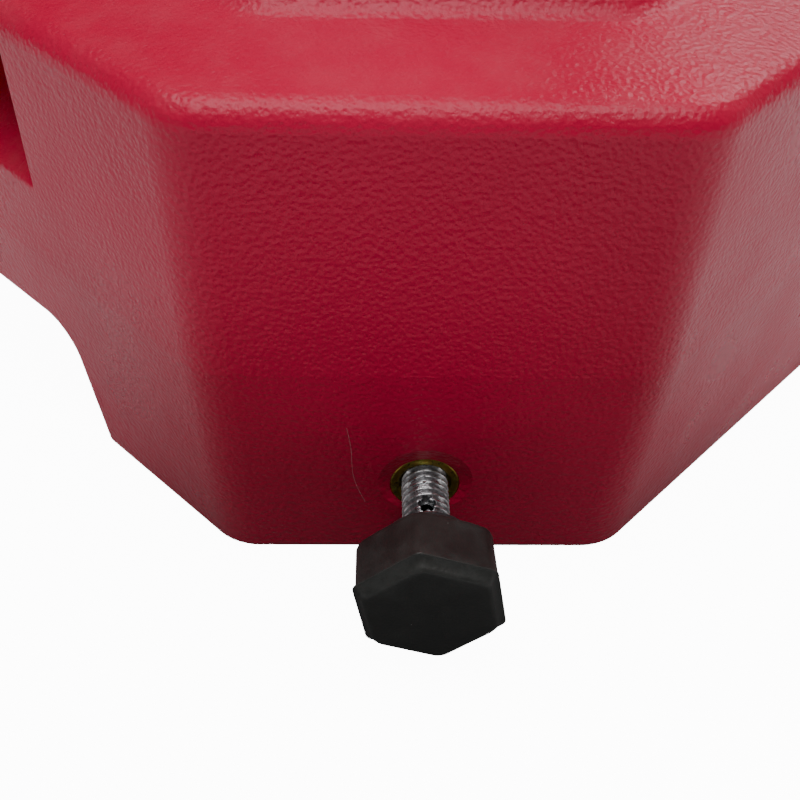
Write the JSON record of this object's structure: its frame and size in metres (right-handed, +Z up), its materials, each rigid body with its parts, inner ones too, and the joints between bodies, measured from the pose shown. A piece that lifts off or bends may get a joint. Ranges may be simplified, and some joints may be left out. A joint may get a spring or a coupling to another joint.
{
  "type": "water filled barrier",
  "caption": "Hollow moulded road barrier filled with water, with a skirted base, windows, screw filler, hollow drain bolts, coupling lugs and a drop pin.",
  "frame": {"origin": "on the ground under the middle of the barrier", "axes": "+X along the barrier towards the end that carries the coupling pin, +Y across it, +Z up"},
  "size_m": [1.288, 0.4222, 0.8],
  "materials": {
    "tank_plastic": "red polyethylene with the fine grain of a moulded tank",
    "fitting_plastic": "black moulded polyethylene",
    "head_plastic": "near-black moulded plastic",
    "seal_rubber": "matt black rubber",
    "insert_metal": "yellow passivated metal",
    "bolt_steel": "bright zinc plate",
    "sleeve_steel": "zinc plated tube",
    "pin_steel": "zinc plated bar",
    "strip_sheeting": "white prismatic reflective sheeting",
    "reflector_plastic": "amber prismatic lens",
    "rivet_aluminium": "plain"
  },
  "bodies": {
    "tank_body": {"tank_left_foot": "tank_plastic", "tank_middle_foot": "tank_plastic", "tank_right_foot": "tank_plastic", "tank_left_apron": "tank_plastic", "tank_middle_apron": "tank_plastic", "tank_right_apron": "tank_plastic", "tank_shoulder": "tank_plastic", "tank_sill": "tank_plastic", "tank_left_end_post": "tank_plastic", "tank_left_post": "tank_plastic", "tank_right_post": "tank_plastic", "tank_right_end_post": "tank_plastic", "tank_front_lintel": "tank_plastic", "tank_rear_lintel": "tank_plastic", "tank_pan_floor": "tank_plastic", "tank_front_pan_wall": "tank_plastic", "tank_rear_pan_wall": "tank_plastic", "tank_left_crown": "tank_plastic", "tank_right_crown": "tank_plastic", "tank_left_lower_lug": "tank_plastic", "tank_left_upper_lug": "tank_plastic", "tank_right_lower_lug": "tank_plastic", "tank_right_upper_lug": "tank_plastic", "filler_neck": "fitting_plastic", "front_drain_insert": "insert_metal", "rear_drain_insert": "insert_metal", "left_lower_sleeve": "sleeve_steel", "left_upper_sleeve": "sleeve_steel", "right_lower_sleeve": "sleeve_steel", "right_upper_sleeve": "sleeve_steel", "front_strip": "strip_sheeting", "rear_strip": "strip_sheeting", "left_reflector": "reflector_plastic", "right_reflector": "reflector_plastic", "left_reflector_rivet": "rivet_aluminium", "right_reflector_rivet": "rivet_aluminium"},
    "front_drain_washer": {"front_drain_seal": "seal_rubber"},
    "front_drain_screw": {"front_drain_bolt": "bolt_steel", "front_drain_knob": "head_plastic"},
    "rear_drain_washer": {"rear_drain_seal": "seal_rubber"},
    "rear_drain_screw": {"rear_drain_bolt": "bolt_steel", "rear_drain_knob": "head_plastic"},
    "filler_ring": {"filler_gasket": "seal_rubber"},
    "filler_lid": {"filler_cap": "fitting_plastic"},
    "coupling_pin": {"coupling_pin_rod": "pin_steel", "coupling_pin_collar": "pin_steel", "coupling_pin_handle": "pin_steel"}
  },
  "joints": [
    {"name": "front_drain_slide", "type": "slide", "parent": "tank_body", "child": "front_drain_washer", "axis": [0.7071, -0.7071, 0], "range_m": [-0.0175, 0.0115]},
    {"name": "front_drain_turn", "type": "hinge", "parent": "front_drain_washer", "child": "front_drain_screw", "pos_m": [0.55983, -0.16983, 0.0272], "axis": [0.7071, -0.7071, 0], "range_deg": [-3160, 2080]},
    {"name": "rear_drain_slide", "type": "slide", "parent": "tank_body", "child": "rear_drain_washer", "axis": [-0.7071, 0.7071, 0], "range_m": [-0.0175, 0.0115]},
    {"name": "rear_drain_turn", "type": "hinge", "parent": "rear_drain_washer", "child": "rear_drain_screw", "pos_m": [-0.55983, 0.16983, 0.0272], "axis": [-0.7071, 0.7071, 0], "range_deg": [-3160, 2080]},
    {"name": "filler_lift", "type": "slide", "parent": "tank_body", "child": "filler_ring", "axis": [0, 0, 1], "range_m": [0, 0.0151]},
    {"name": "filler_turn", "type": "hinge", "parent": "filler_ring", "child": "filler_lid", "pos_m": [0, 0, 0.785], "axis": [0, 0, 1], "range_deg": [0, 900]},
    {"name": "coupling_pin_lift", "type": "slide", "parent": "tank_body", "child": "coupling_pin", "axis": [0, 0, 1], "range_m": [0, 0.385]}
  ],
  "couplings": [
    {"joint": "front_drain_turn", "follows": "front_drain_slide", "rad_per_m": 3141.6},
    {"joint": "rear_drain_turn", "follows": "rear_drain_slide", "rad_per_m": 3141.6},
    {"joint": "filler_lift", "follows": "filler_turn", "m_per_rad": 0.00095493}
  ]
}
